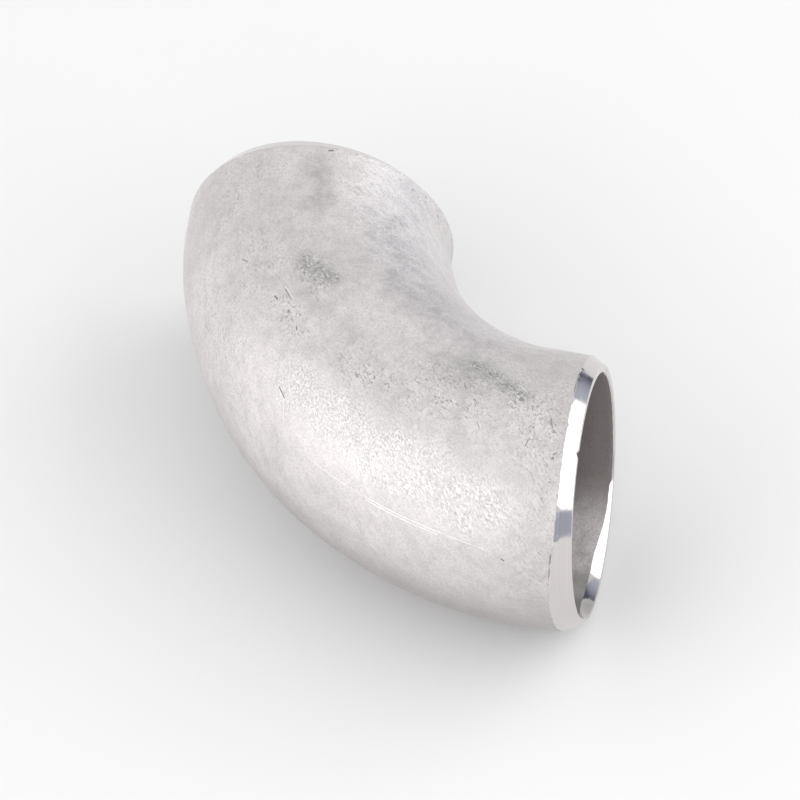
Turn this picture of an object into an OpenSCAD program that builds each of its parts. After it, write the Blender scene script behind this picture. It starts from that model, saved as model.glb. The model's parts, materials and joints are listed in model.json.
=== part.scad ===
// Long-radius 90 degree butt-weld pipe elbow: one piece of seamless stainless steel,
// with a bevel, a narrow root face and a shallow counterbore machined at each end.
// It lies flat on its side. The bend is in the plane z = 0, and the origin is the
// centre of the face that points along +X. The other face points along +Y.

/* [Pipe] */
// Outside diameter of the pipe that the elbow joins
pipe_od = 48.3; // [42.4:0.1:60.3]
// Wall thickness
wall = 2.77; // [2.5:0.01:4]

/* [Bend] */
// Radius of the bend's centreline
bend_radius = 56.5; // [40:0.5:90]
// Straight length between the bend and the face along +X
straight_x = 2.5; // [0.5:0.5:20]
// Straight length between the bend and the face along +Y
straight_y = 0.5; // [0.5:0.5:20]

/* [Weld ends] */
// Length of the bevel along the pipe
bevel_length = 2.6; // [1:0.1:4]
// Width of the flat root face that the bevel leaves
root_face = 0.8; // [0.4:0.05:1.2]
// How far the counterbore is cut into the wall
counterbore_cut = 0.27; // [0.1:0.01:0.5]
// Depth of the counterbore from the face
counterbore_depth = 2; // [1:0.25:5]

/* [Hidden] */
$fn = 128;

pipe_r = pipe_od / 2;
inner_r = pipe_r - wall;
counterbore_r = inner_r + counterbore_cut;
root_face_r = counterbore_r + root_face;
// Length of bevel for each millimetre that it takes off the radius
bevel_slope = bevel_length / (pipe_r - root_face_r);
// How far a cut runs on past the surface that it opens
past = 1;

// A round bar along the whole centreline, carried on past both faces
module centreline_bar(r, past_faces) {
    translate([-straight_x, 0, 0])
        rotate([0, 90, 0])
            cylinder(r = r, h = straight_x + past_faces);
    translate([-straight_x, bend_radius, 0])
        rotate([0, 0, 180])
            rotate_extrude(angle = 90)
                translate([bend_radius, 0])
                    circle(r = r);
    translate([-straight_x - bend_radius, bend_radius, 0])
        rotate([-90, 0, 0])
            cylinder(r = r, h = straight_y + past_faces);
}

// What is turned off one end, with the pipe along Z and its face at z = 0
module end_cut() {
    rotate_extrude()
        polygon([
            [root_face_r - past / bevel_slope, past],
            [pipe_r + past, -bevel_length - past * bevel_slope],
            [pipe_r + past, past]
        ]);
    translate([0, 0, -counterbore_depth])
        cylinder(r = counterbore_r, h = counterbore_depth + past);
}

module elbow_body() {
    color("silver")
        difference() {
            centreline_bar(pipe_r, 0);
            centreline_bar(inner_r, past);
            rotate([0, 90, 0])
                end_cut();
            translate([-straight_x - bend_radius, bend_radius + straight_y, 0])
                rotate([-90, 0, 0])
                    end_cut();
        }
}

elbow_body();
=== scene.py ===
import json
import math

import bpy
import numpy as np
from mathutils import Matrix, Vector, noise


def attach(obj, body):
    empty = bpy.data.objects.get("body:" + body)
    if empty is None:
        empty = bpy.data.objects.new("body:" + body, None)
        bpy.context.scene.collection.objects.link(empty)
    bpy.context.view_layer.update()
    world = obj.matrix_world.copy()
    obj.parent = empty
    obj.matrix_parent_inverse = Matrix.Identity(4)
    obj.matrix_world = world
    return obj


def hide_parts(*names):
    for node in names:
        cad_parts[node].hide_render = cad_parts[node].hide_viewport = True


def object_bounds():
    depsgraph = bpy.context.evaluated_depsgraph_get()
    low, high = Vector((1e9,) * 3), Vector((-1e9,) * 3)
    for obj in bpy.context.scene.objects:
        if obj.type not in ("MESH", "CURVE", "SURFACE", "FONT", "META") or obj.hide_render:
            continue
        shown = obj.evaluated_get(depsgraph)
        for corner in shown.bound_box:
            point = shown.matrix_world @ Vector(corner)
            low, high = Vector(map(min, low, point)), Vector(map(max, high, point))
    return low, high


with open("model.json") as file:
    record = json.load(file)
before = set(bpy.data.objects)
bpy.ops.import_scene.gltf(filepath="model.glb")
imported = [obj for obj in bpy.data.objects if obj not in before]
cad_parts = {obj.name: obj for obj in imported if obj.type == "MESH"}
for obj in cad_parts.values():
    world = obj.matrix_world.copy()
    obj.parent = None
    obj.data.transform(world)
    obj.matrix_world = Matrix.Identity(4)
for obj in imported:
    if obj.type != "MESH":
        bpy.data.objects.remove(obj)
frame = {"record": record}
cad_low, cad_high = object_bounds()

MM = 0.001

# ---------------------------------------------------------------- sizes of the elbow

mounts = {m["name"]: m for m in frame["record"]["mounts"]}
y_face_centre = Vector(mounts["bore_y"]["pos_m"])
pipe_r = (cad_high.z - cad_low.z) / 2
rim_r = mounts["bore_x"]["dims"]["r_mm"] * MM
wall = 2.77 * MM
inner_r = pipe_r - wall
bend_r = 56.5 * MM
straight_x = -y_face_centre.x - bend_r
straight_y = y_face_centre.y - bend_r
bend_length = bend_r * math.pi / 2
tube_length = straight_x + bend_length + straight_y
edge_round = 0.05 * MM
# Radius gained along a bevel, and lost along an inner chamfer, for each mm along the axis
bevel_slope = 0.654
chamfer_slope = 0.65

# ---------------------------------------------------------------- places on the tube
#
# A point has a distance, measured along the centreline from the +X face, and an
# angle, which is 0 at the top, 90 on the inside of the bend and 270 on its outside.
# The seam of the mesh and of its UV maps runs along the bottom.

SEAM = 180.0
# Steps around the tube, and rings along its skin and along its bore
AROUND = 512
SKIN_RINGS = 125
BORE_RINGS = 43
angle = SEAM + np.arange(AROUND) * 360.0 / AROUND


def apart(a, b):
    """The difference of two angles in degrees, from -180 to 180."""
    return (a - b + 180.0) % 360.0 - 180.0


def smooth_step(low, high, x):
    """Rises from 0 at low to 1 at high along an S curve."""
    t = np.clip((x - low) / (high - low), 0.0, 1.0)
    return t * t * (3 - 2 * t)


def hump(x, width):
    """A bell curve that is 1 at 0 and has fallen to 0.37 at the given width."""
    return np.exp(-((x / width) ** 2))


def tube_points(distance, radius, turn=angle):
    """Points in space, from distances, radii and angles on the tube."""
    distance, radius, turn = np.broadcast_arrays(distance, radius, np.radians(turn))
    bend = np.clip((distance - straight_x) / bend_r, 0.0, math.pi / 2)
    before = np.minimum(distance, straight_x)
    after = np.maximum(distance - straight_x - bend_length, 0.0)
    outwards = radius * np.sin(turn)
    x = -before - bend_r * np.sin(bend) + outwards * np.sin(bend)
    y = bend_r * (1 - np.cos(bend)) + after + outwards * np.cos(bend)
    return np.stack([x, y, radius * np.cos(turn)], axis=-1)


def rough(points, wavelength, seed):
    """Smooth random values, about -1 to 1, that vary over the given wavelength."""
    shift = Vector((seed * 17.3, seed * 5.1, seed * 9.7))
    flat = points.reshape(-1, 3) / wavelength
    values = [noise.noise(Vector(p) + shift) for p in flat]
    return np.array(values).reshape(points.shape[:-1])


# ---------------------------------------------------------------- mesh of the elbow

# Swellings and flats that bending left in the skin, in mm and degrees:
# distance, angle, half length, half width, height
SWELLINGS = [
    (80, 288, 9, 26, 0.45),
    (71, 82, 7, 24, 0.40),
    (9, 50, 8, 26, 0.45),
    (18, 245, 9, 16, 0.25),
    (60, 268, 10, 18, -0.20),
]


def swollen_radius(distance):
    """The radius of the pipe with its swellings, at every angle."""
    r = np.full(AROUND, pipe_r)
    for along, around, half_length, half_width, height in SWELLINGS:
        reach = hump(distance / MM - along, half_length) * hump(apart(angle, around), half_width)
        r = r + height * MM * reach
    return r


def skin_radius(distance):
    """The swollen radius with long and short waves, and torn a little beside each bevel."""
    r = swollen_radius(distance)
    points = tube_points(distance, r)
    r = r + 0.07 * MM * rough(points, 14 * MM, 1)
    r = r + 0.03 * MM * rough(points, 4 * MM, 2)
    bevel_edge = 2.5
    from_end = np.minimum(distance, tube_length - distance) / MM
    return r + 0.05 * MM * hump(from_end - bevel_edge, 1.5) * rough(points, 1.2 * MM, 3)


def bevel_length_x(turn):
    """The +X bevel is longest on the outside of the bend, in mm."""
    return 2.2 + 1.25 * hump(apart(turn, 262), 46)


def bevel_length_y(turn):
    """The +Y bevel, in mm."""
    return 2.3 + 0.5 * hump(apart(turn, 250), 60)


def chamfer_depth_x(turn):
    """The inner chamfer of the +X end is deep at the bottom and starts at a step, in mm."""
    depth = 0.22 + 0.38 * smooth_step(134, 138, turn % 360)
    depth = depth + 1.2 * smooth_step(145, 178, turn % 360)
    return depth - 1.5 * smooth_step(205, 250, turn % 360)


def chamfer_depth_y(turn):
    """The inner chamfer of the +Y end, in mm."""
    return 0.7 + 0.4 * np.cos(np.radians(turn - 250))


# Each weld end, with the chips in its rim as (angle, half width in degrees, depth in mm)
END_X = {
    "bevel_length": bevel_length_x,
    "chamfer_depth": chamfer_depth_x,
    "chips": [(340.6, 1.0, 0.60), (60, 0.9, 0.2)],
    "seed": 11,
}
END_Y = {
    "bevel_length": bevel_length_y,
    "chamfer_depth": chamfer_depth_y,
    "chips": [(40, 1.5, 0.25)],
    "seed": 12,
}


def end_rings(end, place):
    """Rings of a weld end from the skin inwards, each as (depth from the face, radius).

    place gives the distance on the tube for a depth from this end's face.
    """
    zero = np.zeros(AROUND)
    bevel = end["bevel_length"](angle) * MM
    root = swollen_radius(place(bevel)) - bevel_slope * bevel
    face = tube_points(place(0.0), root)
    burr = 0.16 * rough(face, 0.9 * MM, end["seed"]) + 0.10 * rough(face, 5 * MM, end["seed"] + 4)
    edge = bevel + burr * MM
    chip = zero
    for around, half_width, depth in end["chips"]:
        chip = chip + depth * MM * hump(apart(angle, around), half_width)
    chamfer = end["chamfer_depth"](angle) + 0.05 * rough(face, 1.0 * MM, end["seed"] + 8)
    chamfer = np.maximum(chamfer * MM, 0.1 * MM) + chip
    mouth = rim_r - chamfer_slope * (chamfer - chip)
    lip = chip / 2

    # The bevel with its rounded edges, the root face, and the inner chamfer
    rings = [(edge + edge_round, skin_radius(place(edge + edge_round)))]
    for depth in (edge - edge_round, edge * 0.7, edge * 0.4, lip + edge_round):
        rings.append((depth, root + bevel_slope * depth))
    rings.append((lip, root + bevel_slope * lip - edge_round))
    rings.append(((lip + chip) / 2, (root + rim_r) / 2))
    rings.append((chip, rim_r + edge_round))
    rings.append((chip + edge_round, rim_r - edge_round * chamfer_slope))
    rings.append(((chip + chamfer) / 2, (rim_r + mouth) / 2))
    rings.append((chamfer - edge_round, mouth + edge_round * chamfer_slope))
    rings.append((chamfer + edge_round, mouth))
    return [(depth + zero, r + zero) for depth, r in rings]


def bore_radius(distance, mouth_x, mouth_y):
    """The bore is its nominal size in the bend and meets each end's chamfer."""
    reach = 9.0
    near_x = hump(distance / MM, reach)
    near_y = hump((tube_length - distance) / MM, reach)
    r = inner_r + (mouth_x - inner_r) * near_x + (mouth_y - inner_r) * near_y
    waves = 0.05 * MM * rough(tube_points(distance, r), 6 * MM, 5)
    return r + waves * (1 - near_x) * (1 - near_y)


def spread(count):
    """Numbers from 0 to 1 that lie closer together near both ends."""
    t = np.linspace(0.0, 1.0, count)
    return t - 0.6 * np.sin(2 * math.pi * t) / (2 * math.pi)


# Numbers of the elbow's material slots
SKIN, TURNED, BORE = 0, 1, 2


def elbow_rings():
    """All rings, as (distances, radii, material of the band up to the next ring)."""
    end_x = end_rings(END_X, lambda depth: depth)
    end_y = end_rings(END_Y, lambda depth: tube_length - depth)
    mouth_x, mouth_y = end_x[-1][1], end_y[-1][1]

    rings = []
    start, stop = end_x[0][0], tube_length - end_y[0][0]
    for t in spread(SKIN_RINGS + 1)[:-1]:
        distance = start * (1 - t) + stop * t
        rings.append((distance, skin_radius(distance), SKIN))
    for depth, r in end_y[:-1]:
        rings.append((tube_length - depth, r, TURNED))
    start, stop = tube_length - end_y[-1][0], end_x[-1][0]
    for t in spread(BORE_RINGS + 1)[:-1]:
        distance = start * (1 - t) + stop * t
        rings.append((distance, bore_radius(distance, mouth_x, mouth_y), BORE))
    for depth, r in reversed(end_x[1:]):
        rings.append((depth, r, TURNED))
    return rings


def build_elbow():
    """Joins the rings to one closed mesh: out along the skin and back through the bore."""
    rings = elbow_rings()
    distance = np.stack([q[0] for q in rings])
    r = np.stack([q[1] for q in rings])
    ring, step = np.meshgrid(np.arange(len(rings)), np.arange(AROUND), indexing="ij")
    next_ring, next_step = (ring + 1) % len(rings), (step + 1) % AROUND

    def corners(of_ring_and_step):
        pairs = [(ring, step), (ring, next_step), (next_ring, next_step), (next_ring, step)]
        return np.stack([of_ring_and_step(a, b) for a, b in pairs], axis=-1)

    points = tube_points(distance, r).reshape(-1, 3)
    faces = corners(lambda a, b: a * AROUND + b).reshape(-1, 4)
    mesh = bpy.data.meshes.new("elbow")
    mesh.from_pydata(points.tolist(), [], faces.tolist())
    mesh.polygons.foreach_set("material_index", np.repeat([q[2] for q in rings], AROUND))

    # UV map "tube" holds the distance and the arc, "lathe" the arc and the depth from the face
    arc = np.stack([step, step + 1, step + 1, step], axis=-1) * 2 * math.pi * pipe_r / AROUND
    along = corners(lambda a, b: distance[a, b])
    across = corners(lambda a, b: r[a, b])
    for name, u, v in (("tube", along, arc), ("lathe", arc, along + across)):
        layer = mesh.uv_layers.new(name=name)
        layer.data.foreach_set("uv", np.stack([u, v], axis=-1).astype(np.float32).ravel())
    mesh.shade_smooth()
    mesh.set_sharp_from_angle(angle=math.radians(18))
    elbow = bpy.data.objects.new("elbow", mesh)
    bpy.context.scene.collection.objects.link(elbow)
    return elbow


# ---------------------------------------------------------------- materials

# Direction of the fine strokes that handling has left in the skin
STROKES = Vector((0.56, -0.59, -0.59))


def arc_of(turn):
    """Arc in mm from the seam to an angle on the tube."""
    return (turn - SEAM) % 360.0 * math.pi / 180.0 * pipe_r / MM


def grey(value, warmth=0.042):
    """A slightly warm grey."""
    return (value, value * (1 - warmth), value * (1 - warmth * 1.2), 1)


class Finish:
    """A material with a Principled shader, and short calls for the nodes that feed it."""

    def __init__(self, name, **values):
        self.material = bpy.data.materials.new(name)
        self.material.use_nodes = True
        self.tree = self.material.node_tree
        self.shader = self.tree.nodes["Principled BSDF"]
        for socket, value in values.items():
            self.shader.inputs[socket].default_value = value

    def feed(self, source, socket):
        """Links a socket to a socket, or sets it to a constant."""
        if isinstance(source, bpy.types.NodeSocket):
            self.tree.links.new(source, socket)
        else:
            socket.default_value = source

    def add(self, kind, sources=(), **settings):
        """A new node, with its first inputs fed in order."""
        made = self.tree.nodes.new(kind)
        for key, value in settings.items():
            setattr(made, key, value)
        for socket, source in enumerate(sources):
            self.feed(source, made.inputs[socket])
        return made

    def math(self, operation, *sources):
        return self.add("ShaderNodeMath", sources, operation=operation).outputs[0]

    def vector(self, operation, *sources, output="Vector"):
        return self.add("ShaderNodeVectorMath", sources, operation=operation).outputs[output]

    def times(self, *sources):
        total = sources[0]
        for source in sources[1:]:
            total = self.math("MULTIPLY", total, source)
        return total

    def strongest(self, masks):
        """The highest of some masks."""
        total = masks[0]
        for mask in masks[1:]:
            total = self.math("MAXIMUM", total, mask)
        return total

    def ramp(self, source, low, high, to_low=0.0, to_high=1.0):
        """Maps low..high to to_low..to_high along an S curve, and holds the ends."""
        made = self.add("ShaderNodeMapRange", (source,), interpolation_type="SMOOTHSTEP")
        names = ("From Min", "From Max", "To Min", "To Max")
        for socket, value in zip(names, (low, high, to_low, to_high)):
            made.inputs[socket].default_value = value
        return made.outputs["Result"]

    def tint(self, factor, below, above):
        """Lays a colour over the one below it, as strongly as the factor says."""
        made = self.add("ShaderNodeMix", data_type="RGBA")
        for socket, source in zip((0, 6, 7), (factor, below, above)):
            self.feed(source, made.inputs[socket])
        return made.outputs[2]

    def noise(self, position, scale, detail=3.0, roughness=0.5, distortion=0.0):
        made = self.add("ShaderNodeTexNoise", (position,))
        names = ("Scale", "Detail", "Roughness", "Distortion")
        for socket, value in zip(names, (scale, detail, roughness, distortion)):
            made.inputs[socket].default_value = value
        return made.outputs["Fac"]

    def bump(self, height, distance, below=None):
        """Relief of the given depth, laid over the relief below it."""
        made = self.add("ShaderNodeBump")
        self.feed(height, made.inputs["Height"])
        made.inputs["Distance"].default_value = distance
        if below is not None:
            self.feed(below, made.inputs["Normal"])
        return made.outputs["Normal"]

    def place(self):
        """The position on the object in millimetres."""
        position = self.add("ShaderNodeTexCoord").outputs["Object"]
        return self.vector("DIVIDE", position, (MM, MM, MM))

    def uv(self, name):
        """A UV map in millimetres."""
        position = self.add("ShaderNodeUVMap", uv_map=name).outputs[0]
        return self.vector("DIVIDE", position, (MM, MM, MM))

    def part(self, position, axis):
        """One coordinate of a position."""
        return self.add("ShaderNodeSeparateXYZ", (position,)).outputs[axis]

    def stretched(self, position, length, width):
        """Coordinates in which one unit is the given length along STROKES, and width across."""
        made = self.add("ShaderNodeMapping", (position,), vector_type="TEXTURE")
        made.inputs["Rotation"].default_value = STROKES.to_track_quat("X", "Z").to_euler()
        made.inputs["Scale"].default_value = (length, width, width)
        return made.outputs[0]

    def patch(self, tube, along, turn, half_length, half_width):
        """1 at a place on the tube, and fades out over the given millimetres."""
        offset = self.vector("SUBTRACT", tube, (along, arc_of(turn), 0))
        offset = self.vector("DIVIDE", offset, (half_length, half_width, 1))
        square = self.vector("DOT_PRODUCT", offset, offset, output="Value")
        return self.math("EXPONENT", self.math("MULTIPLY", square, -1.0))

    def patches(self, tube, places):
        return self.strongest([self.patch(tube, *place) for place in places])

    def line(self, tube, start, end, half_width):
        """1 on a straight scratch between two places on the tube, with soft sides and ends."""
        a = Vector((start[0], arc_of(start[1]), 0))
        b = Vector((end[0], arc_of(end[1]), 0))
        way = (b - a).normalized()
        half_length = (b - a).length / 2
        offset = self.vector("SUBTRACT", tube, (a + b) / 2)
        along = self.math("ABSOLUTE", self.vector("DOT_PRODUCT", offset, way, output="Value"))
        aside_way = Vector((way.y, -way.x, 0))
        aside = self.math("ABSOLUTE", self.vector("DOT_PRODUCT", offset, aside_way, output="Value"))
        across = self.ramp(aside, half_width * 0.4, half_width * 1.6, 1.0, 0.0)
        return self.times(across, self.ramp(along, half_length * 0.75, half_length, 1.0, 0.0))

    def lines(self, tube, places):
        return self.strongest([self.line(tube, *place) for place in places])

    def made_of(self, colour, roughness, normal):
        """The material, once the shader has its colour, roughness and normal."""
        self.feed(colour, self.shader.inputs["Base Color"])
        self.feed(roughness, self.shader.inputs["Roughness"])
        self.feed(normal, self.shader.inputs["Normal"])
        return self.material


# Marks on the skin, as (distance, angle, half length, half width) in mm and degrees.
# Greenish dark smudges:
SMUDGES = [
    (62.3, 353.8, 2.3, 1.7),
    (60.2, 356.8, 2.2, 1.7),
    (58.2, 359.4, 1.9, 1.4),
    (56.8, 1.6, 1.3, 1.1),
    (21.8, 11.5, 2.6, 1.5),
    (18.2, 9.8, 2.6, 1.5),
    (14.5, 6.5, 2.6, 1.4),
    (11.7, 3.2, 2.2, 1.2),
]
# Soft grey clouds, the last of them painted shade on the outside of the +X end:
CLOUDS_AND_SHADE = [
    (82.5, 6.0, 4.5, 2.4),
    (76.5, 6.5, 4.0, 2.6),
    (59.5, 354.0, 5.0, 4.5),
    (24.0, 5.0, 8.0, 3.5),
    # Painted shade on the outside of the bend at the +X end
    (-2.0, 274.0, 10.0, 9.0),
]
# Places full of fine strokes:
MARKED = [
    (60, 354, 4.0, 4.0),
    (56, 356, 3.5, 4.0),
    (23, 353, 10.0, 7.0),
    (12, 2, 6.0, 4.5),
    (6, 348, 4.0, 9.0),
    (3, 317, 1.2, 4.5),
    (36, 344, 8.0, 4.0),
    (55, 337, 7.0, 2.4),
]
# Places with fewer and fainter strokes:
SCUFFED = [
    (4, 325, 3.0, 16.0),
    (82, 333, 7.0, 6.0),
    (67, 334, 8.0, 6.0),
    (81, 24, 5.0, 5.0),
    (70, 38, 7.0, 5.0),
    (60, 40, 6.0, 4.0),
    (64, 306, 8.0, 6.0),
    (5, 290, 3.0, 8.0),
    (86, 200, 5.0, 30.0),
    (40, 120, 20.0, 9.0),
    (30, 190, 15.0, 14.0),
]
# The band that rubbing has brightened, where the highlight falls; its white flecks are painted
# glints:
RUBBED_GLINT_BAND = [
    (45, 321, 5.5, 5.0),
    (36, 321, 8.0, 5.5),
    (25, 318, 9.0, 7.0),
    (14, 312, 6.5, 6.0),
]
# Places with dark pits:
PITTED = [
    (4.5, 340, 4.0, 15.0),
    (9, 352, 5.0, 7.0),
    (16, 2, 8.0, 3.0),
    (87, 60, 4.0, 20.0),
]
# Scratches as (one end, other end, half width), each end as (distance, angle)
LIGHT_SCRATCHES = [
    ((39.3, 299.3), (27.0, 298.2), 0.08),
    ((28.5, 298.4), (16.8, 296.3), 0.10),
    ((17.5, 296.4), (11.0, 294.0), 0.09),
    ((29.0, 297.4), (17.5, 295.1), 0.10),
    ((46.0, 312.7), (44.0, 303.5), 0.06),
    ((27.4, 294.0), (26.3, 292.4), 0.08),
    ((27.5, 276.0), (26.0, 273.0), 0.08),
    ((51.3, 334.6), (49.1, 335.1), 0.05),
    ((13.0, 8.7), (10.4, 4.4), 0.07),
    ((60.1, 341.9), (57.2, 342.0), 0.07),
]
DARK_SCRATCHES_AND_SHADOW_LINES = [
    ((47.9, 314.8), (45.8, 312.6), 0.10),
    ((9.4, 291.3), (8.9, 290.2), 0.10),
    ((89.0, 11.4), (88.7, 8.8), 0.20),
    ((59.8, 335.8), (58.7, 336.3), 0.17),
    ((59.9, 341.2), (57.1, 341.3), 0.07),
    ((56.1, 337.9), (55.3, 337.8), 0.12),
    ((52.6, 336.9), (51.9, 336.0), 0.12),
    ((69.4, 327.8), (68.3, 330.6), 0.08),
    ((22.2, 1.0), (21.0, 358.0), 0.05),
    ((19.1, 355.6), (17.6, 352.4), 0.05),
    ((16.8, 345.9), (15.9, 342.9), 0.05),
    ((9.0, 358.8), (8.5, 356.2), 0.09),
    ((5.3, 354.6), (4.6, 349.1), 0.09),
    ((7.9, 343.3), (8.3, 339.6), 0.08),
    ((3.9, 337.8), (3.2, 339.1), 0.10),
    # Painted shadow lines along the edge between the skin and the +X bevel:
    ((3.05, 297.0), (3.3, 283.0), 0.10),
    ((2.35, 24.0), (2.35, 8.0), 0.10),
]


def pickled_skin():
    """Matte acid-pickled stainless steel, mottled, smudged, scuffed and scratched, with painted
    shade and glints.
    """
    f = Finish("pickled_skin", Metallic=1.0)
    place = f.place()
    tube = f.uv("tube")

    # Fields that vary over some 16 mm down to a few tenths of one
    clouds = f.noise(place, 0.06, 3.0, 0.55)
    mottle = f.noise(place, 0.35, 6.0, 0.66, 0.3)
    grain = f.noise(place, 2.6, 3.0, 0.65)
    strokes = f.noise(f.stretched(place, 2.2, 0.40), 1.0, 4.0, 0.64, 0.5)
    streaks = f.noise(f.stretched(place, 6.0, 1.5), 1.0, 3.0, 0.55)

    # Masks: fine dark and light strokes in the marked places, smudges, pits, and the rubbed band
    # with its painted glints
    clusters = f.ramp(f.noise(place, 0.34, 3.0, 0.6), 0.38, 0.55)
    scuffed = f.math("ADD", f.times(f.patches(tube, SCUFFED), 0.4), 0.10)
    marked = f.times(f.strongest([f.patches(tube, MARKED), scuffed]), clusters)
    smudges = f.patches(tube, SMUDGES)
    marked = f.strongest([marked, f.times(smudges, 0.8)])
    smudged = f.times(smudges, f.ramp(strokes, 0.40, 0.56, 0.45, 1.0))
    clouded_and_shaded = f.times(f.patches(tube, CLOUDS_AND_SHADE), f.ramp(mottle, 0.40, 0.62, 1.0, 0.5))
    dashes = f.times(f.ramp(strokes, 0.53, 0.64), marked)
    ticks = f.times(f.ramp(strokes, 0.46, 0.37), marked)
    pits = f.ramp(f.noise(place, 1.7, 3.0, 0.65, 0.5), 0.42, 0.33)
    pits = f.times(pits, f.patches(tube, PITTED), f.ramp(mottle, 0.42, 0.58))
    rubbed_and_glint_band = f.ramp(f.patches(tube, RUBBED_GLINT_BAND), 0.10, 0.80)
    patchy = f.ramp(f.noise(place, 0.45, 3.0, 0.6), 0.38, 0.58)
    scuffs = f.noise(f.stretched(place, 0.75, 0.28), 1.0, 4.0, 0.7, 0.6)
    glint_flecks = f.times(f.ramp(scuffs, 0.47, 0.57), f.math("ADD", f.times(patchy, 0.75), 0.25))
    polish_and_glints = f.times(rubbed_and_glint_band, glint_flecks)
    worn = f.times(rubbed_and_glint_band, f.ramp(scuffs, 0.46, 0.36))
    light = f.times(f.lines(tube, LIGHT_SCRATCHES), f.ramp(grain, 0.36, 0.56, 0.60, 1.0))
    dark_and_shadow_lines = f.lines(tube, DARK_SCRATCHES_AND_SHADOW_LINES)
    height = f.part(place, "Z")

    # From the plain metal up: tone, painted shade towards the bottom, stains, marks, then what
    # rubbing has polished with painted glints, and scratches with painted shadow lines
    colour = f.tint(f.ramp(clouds, 0.35, 0.65), grey(0.78), grey(0.86))
    # Painted shade: the skin grows darker towards the bottom
    colour = f.tint(f.ramp(height, 6.0, -11.0, 0.0, 0.68), colour, grey(0.42))
    colour = f.tint(f.ramp(streaks, 0.35, 0.62, 0.11, 0.0), colour, grey(0.42))
    colour = f.tint(f.ramp(mottle, 0.34, 0.56, 0.21, 0.0), colour, grey(0.46))
    colour = f.tint(f.ramp(grain, 0.34, 0.58, 0.28, 0.0), colour, grey(0.40))
    # Grey clouds, one of them painted shade
    colour = f.tint(f.times(clouded_and_shaded, 0.50), colour, grey(0.42, 0.02))
    colour = f.tint(f.times(smudged, 0.70), colour, (0.33, 0.35, 0.33, 1))
    colour = f.tint(f.times(dashes, 0.85), colour, grey(0.28))
    colour = f.tint(f.times(ticks, 0.55), colour, grey(1.0))
    colour = f.tint(f.times(pits, 0.80), colour, grey(0.18))
    colour = f.tint(f.times(worn, 0.70), colour, grey(0.45))
    # Painted glints: white flecks on the rubbed band where the highlight falls
    colour = f.tint(f.times(polish_and_glints, 0.9), colour, grey(1.0, 0.02))
    colour = f.tint(light, colour, grey(1.0, 0.01))
    # Dark scratches, and painted shadow lines at the bevel edge
    colour = f.tint(f.times(dark_and_shadow_lines, 0.8), colour, grey(0.22))

    bright = f.math("ADD", polish_and_glints, light)
    roughness = f.math("SUBTRACT", f.ramp(mottle, 0.3, 0.7, 0.46, 0.58), f.times(bright, 0.10))

    relief = f.bump(grain, 0.05 * MM)
    relief = f.bump(f.times(strokes, marked), 0.15 * MM, relief)
    relief = f.bump(streaks, 0.06 * MM, relief)
    sunk = f.math("ADD", f.math("ADD", pits, dark_and_shadow_lines), light)
    relief = f.bump(f.times(sunk, -1.0), 0.05 * MM, relief)
    relief = f.bump(polish_and_glints, 0.03 * MM, relief)
    return f.made_of(colour, roughness, relief)


def turned_metal():
    """Bright steel fresh from the lathe, with fine rings around the pipe and a dull spot."""
    f = Finish("turned_metal", Metallic=1.0)
    place = f.place()
    lathe = f.uv("lathe")
    rings = f.noise(f.vector("MULTIPLY", lathe, (0.03, 7.0, 1.0)), 1.0, 4.0, 0.6)
    drift = f.noise(f.vector("MULTIPLY", lathe, (0.12, 1.2, 1.0)), 1.0, 3.0, 0.5)
    specks = f.ramp(f.noise(place, 1.8, 3.0, 0.6), 0.30, 0.24)
    colour = f.tint(f.ramp(rings, 0.3, 0.7), grey(0.63, 0.055), grey(0.69, 0.055))
    dull = f.patch(f.uv("tube"), 0.8, 207, 3.0, 6.0)
    colour = f.tint(f.times(dull, 0.55), colour, grey(0.22))
    colour = f.tint(f.times(specks, 0.5), colour, grey(0.3))
    return f.made_of(colour, f.ramp(drift, 0.3, 0.7, 0.07, 0.14), f.bump(rings, 0.004 * MM))


def bore_skin():
    """Dull warm-grey scale inside the pipe, with painted light on one strip of the +X mouth and
    painted shade on its -Y side.
    """
    f = Finish("bore_skin", Metallic=0.35)
    place = f.place()
    mottle = f.noise(place, 0.35, 6.0, 0.65)
    grain = f.noise(place, 2.6, 4.0, 0.7)
    across = f.part(place, "Y")
    distance = f.part(f.uv("tube"), "X")
    # Painted light: a bright strip inside the +X mouth, fading away from the face
    painted_lit_strip = f.times(f.ramp(across, 16.5, 6.0), f.ramp(distance, 7.0, 22.0, 1.0, 0.25))
    colour = f.tint(painted_lit_strip, grey(0.31, 0.12), grey(0.92, 0.04))
    # Painted shade: the bore grows darker towards -Y
    colour = f.tint(f.ramp(across, 0.5, -3.0, 0.0, 0.5), colour, grey(0.22, 0.02))
    colour = f.tint(f.ramp(across, -7.0, -10.5, 0.0, 0.5), colour, grey(0.15, 0.05))
    colour = f.tint(f.ramp(mottle, 0.3, 0.7, 0.36, 0.0), colour, grey(0.30, 0.06))
    colour = f.tint(f.ramp(grain, 0.35, 0.6, 0.3, 0.0), colour, grey(0.22, 0.06))
    relief = f.bump(mottle, 0.12 * MM, f.bump(grain, 0.05 * MM))
    return f.made_of(colour, f.ramp(mottle, 0.3, 0.7, 0.48, 0.62), relief)


def floor_paint():
    """Plain matte off-white."""
    f = Finish("floor_paint", Roughness=0.7)
    f.feed((0.875, 0.875, 0.875, 1), f.shader.inputs["Base Color"])
    return f.material


# ---------------------------------------------------------------- camera, floor and light

# The way the camera looks and its roll in degrees, its distance in metres, its lens in mm
VIEW_AZIMUTH = -17.0
VIEW_ELEVATION = 50.7
VIEW_ROLL = 8.66
VIEW_DISTANCE = 1.047
AIM_FROM_CENTRE = Vector((3.8, 1.2, 0.0)) * MM
LENS = 265.0

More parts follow.
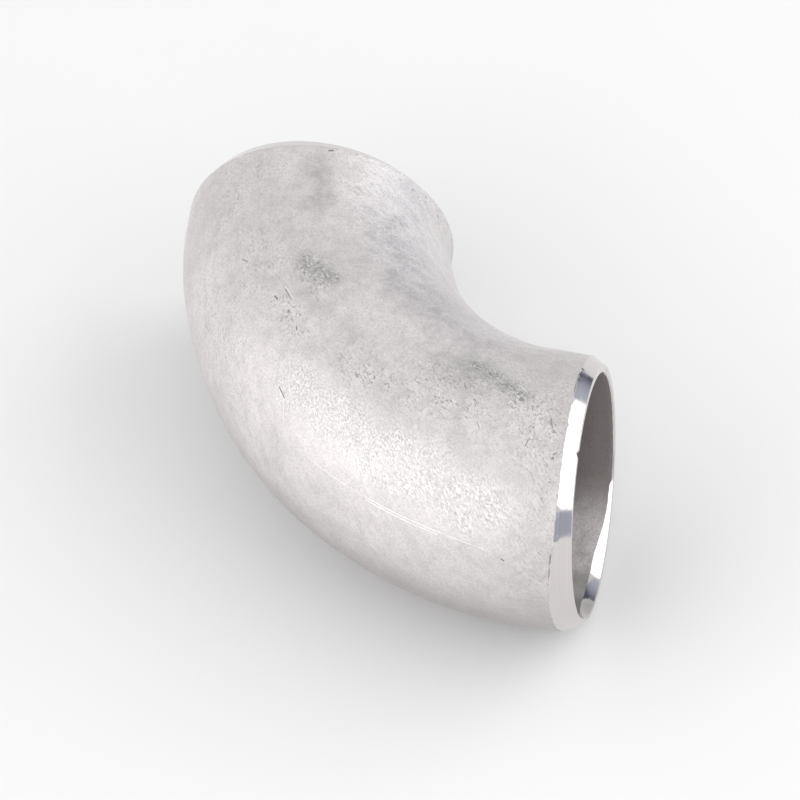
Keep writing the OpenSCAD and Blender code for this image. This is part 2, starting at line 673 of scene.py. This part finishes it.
# The floor reaches 0.9 m each way and lies just clear of the uneven skin
FLOOR_HALF = 0.9
FLOOR_DROP = 0.1 * MM

# The light comes from two softboxes and a white tent. The tent has a bluish gap low down,
# with its middle, half width and top in degrees. Its blurs are sines of angles. It is cut off
# along GAP_UPWARDS, and its colours follow how far a direction leans along GAP_BRIGHTER.
TENT_COLOUR = (0.83, 0.83, 0.83, 1)
GAP_AZIMUTH = 75.0
GAP_HALF_WIDTH = 75.0
GAP_SIDE_BLUR = 0.15
GAP_TOP = 19.5
GAP_TOP_BLUR = (0.02, -0.03)
GAP_UPWARDS = Vector((0.007, -0.059, 1.0))
GAP_BRIGHTER = Vector((0.927, -0.375, 0.35))
GAP_COLOURS = [
    (0.03, (0.13, 0.135, 0.20, 1)),
    (0.16, (0.42, 0.45, 0.54, 1)),
    (0.30, (0.56, 0.61, 0.70, 1)),
    (0.90, (0.49, 0.53, 0.62, 1)),
]

# Azimuth and elevation in degrees, distance, width and height in metres, power in watts
LEFT_BOX = (233, 25, 0.9, 0.90, 0.76, 2.05)
RIGHT_BOX = (83.5, 38, 0.9, 1.40, 0.64, 4.1)


def direction(azimuth, elevation):
    """Unit vector towards a place; azimuth 0 is +Y and 90 is +X, in degrees."""
    a, e = math.radians(azimuth), math.radians(elevation)
    return Vector((math.sin(a) * math.cos(e), math.cos(a) * math.cos(e), math.sin(e)))


def make_camera(centre):
    """Looks down on the elbow from its open side, turned a little around the view."""
    camera = bpy.data.objects.new("camera", bpy.data.cameras.new("camera"))
    bpy.context.scene.collection.objects.link(camera)
    forward = direction(VIEW_AZIMUTH, -VIEW_ELEVATION)
    level = forward.cross(Vector((0, 0, 1))).normalized()
    upright = level.cross(forward)
    roll = math.radians(VIEW_ROLL)
    right = level * math.cos(roll) - upright * math.sin(roll)
    up = upright * math.cos(roll) + level * math.sin(roll)
    turn = Matrix((right, up, -forward)).transposed().to_4x4()
    place = centre + AIM_FROM_CENTRE - forward * VIEW_DISTANCE
    camera.matrix_world = Matrix.Translation(place) @ turn
    camera.data.lens = LENS
    camera.data.sensor_width = 36.0
    camera.data.clip_start = 0.05
    camera.data.clip_end = 50.0
    bpy.context.scene.camera = camera


def make_floor(level):
    corners = [(-1, -1), (1, -1), (1, 1), (-1, 1)]
    corners = [(x * FLOOR_HALF, y * FLOOR_HALF, level) for x, y in corners]
    mesh = bpy.data.meshes.new("floor")
    mesh.from_pydata(corners, [], [(0, 1, 2, 3)])
    mesh.materials.append(floor_paint())
    floor = bpy.data.objects.new("floor", mesh)
    bpy.context.scene.collection.objects.link(floor)


def softbox(name, centre, azimuth, elevation, distance, width, height, power):
    """A rectangular lamp that faces the elbow and is not seen itself."""
    light = bpy.data.lights.new(name, "AREA")
    light.shape = "RECTANGLE"
    light.size = width
    light.size_y = height
    light.energy = power
    lamp = bpy.data.objects.new(name, light)
    bpy.context.scene.collection.objects.link(lamp)
    towards = direction(azimuth, elevation)
    lamp.location = centre + towards * distance
    lamp.rotation_mode = "QUATERNION"
    lamp.rotation_quaternion = towards.to_track_quat("Z", "Y")
    lamp.visible_camera = False


def make_world():
    """A white tent, with a bluish gap low down on the right that is darkest at its left end."""
    world = bpy.data.worlds.new("studio")
    bpy.context.scene.world = world
    world.use_nodes = True
    nodes, links = world.node_tree.nodes, world.node_tree.links
    coordinates = nodes.new("ShaderNodeTexCoord").outputs["Generated"]

    def lean(way):
        """How far the direction leans one way."""
        made = nodes.new("ShaderNodeVectorMath")
        made.operation = "DOT_PRODUCT"
        made.inputs[1].default_value = way
        links.new(coordinates, made.inputs[0])
        return made.outputs["Value"]

    def rise(source, low, high):
        """Maps low..high to 0..1 and holds the ends."""
        made = nodes.new("ShaderNodeMapRange")
        made.inputs["From Min"].default_value = low
        made.inputs["From Max"].default_value = high
        links.new(source, made.inputs["Value"])
        return made.outputs["Result"]

    side = math.cos(math.radians(GAP_HALF_WIDTH))
    top = math.sin(math.radians(GAP_TOP))
    sideways = rise(lean(direction(GAP_AZIMUTH, 0)), side - GAP_SIDE_BLUR, side + GAP_SIDE_BLUR)
    upwards = rise(lean(GAP_UPWARDS), top + GAP_TOP_BLUR[0], top + GAP_TOP_BLUR[1])
    inside = nodes.new("ShaderNodeMath")
    inside.operation = "MULTIPLY"
    links.new(sideways, inside.inputs[0])
    links.new(upwards, inside.inputs[1])

    gap = nodes.new("ShaderNodeValToRGB")
    links.new(lean(GAP_BRIGHTER), gap.inputs["Fac"])
    while len(gap.color_ramp.elements) < len(GAP_COLOURS):
        gap.color_ramp.elements.new(0.5)
    for element, (position, colour) in zip(gap.color_ramp.elements, GAP_COLOURS):
        element.position = position
        element.color = colour

    mix = nodes.new("ShaderNodeMix")
    mix.data_type = "RGBA"
    mix.inputs[6].default_value = TENT_COLOUR
    links.new(inside.outputs[0], mix.inputs[0])
    links.new(gap.outputs["Color"], mix.inputs[7])
    links.new(mix.outputs[2], nodes["Background"].inputs["Color"])


# ---------------------------------------------------------------- the scene

centre = (cad_low + cad_high) / 2
make_camera(centre)
make_world()
make_floor(cad_low.z - FLOOR_DROP)
softbox("left_box", centre, *LEFT_BOX)
softbox("right_box", centre, *RIGHT_BOX)
bpy.context.scene.view_settings.view_transform = "Standard"

elbow = build_elbow()
for finish in (pickled_skin(), turned_metal(), bore_skin()):
    elbow.data.materials.append(finish)
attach(elbow, "root")
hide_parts("elbow_body")
